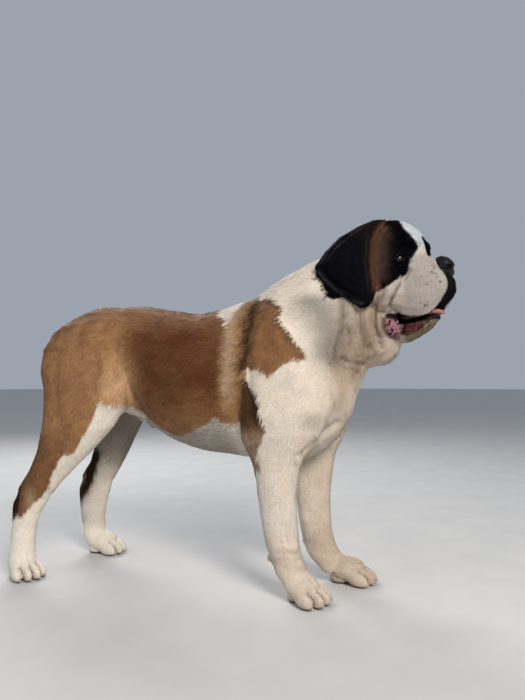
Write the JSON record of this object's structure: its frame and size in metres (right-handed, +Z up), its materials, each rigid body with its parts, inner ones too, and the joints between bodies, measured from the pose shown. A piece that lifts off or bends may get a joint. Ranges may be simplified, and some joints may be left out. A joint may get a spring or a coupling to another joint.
{
  "type": "saint bernard dog",
  "caption": "Life-size standing Saint Bernard with a short red and white coat, a black mask and ears, its mouth a little open and its tail hanging; one still body that stands on its paws.",
  "frame": {"origin": "middle of the bounding box in X and Y, on the floor under the paws", "axes": "+X the way the dog faces, +Y its own left side, +Z up"},
  "size_m": [1.1886, 0.38, 0.9351],
  "materials": {
    "coat_white": "short soft fur, white to cream",
    "coat_red": "short dense fur, reddish brown",
    "coat_black": "short glossy fur, black",
    "nose_leather": "moist, finely pebbled",
    "tongue_flesh": "wet",
    "eye": "wet, dark brown iris",
    "lip_skin": "moist black skin of the lips and the rims of the lids",
    "claw": "horn, pale"
  },
  "bodies": {
    "root": {"left_ear": "coat_black", "right_ear": "coat_black", "barrel": "coat_red", "hindquarters": "coat_red", "tail": "coat_red", "left_thigh": "coat_red", "right_thigh": "coat_red", "head": "coat_white", "neck": "coat_white", "chest": "coat_white", "left_forearm": "coat_white", "right_forearm": "coat_white", "left_fore_paw": "coat_white", "right_fore_paw": "coat_white", "left_hock": "coat_white", "right_hock": "coat_white", "left_hind_paw": "coat_white", "right_hind_paw": "coat_white", "lower_jaw": "coat_white", "nose": "nose_leather", "tongue": "tongue_flesh", "left_eye": "eye", "right_eye": "eye"}
  },
  "joints": []
}
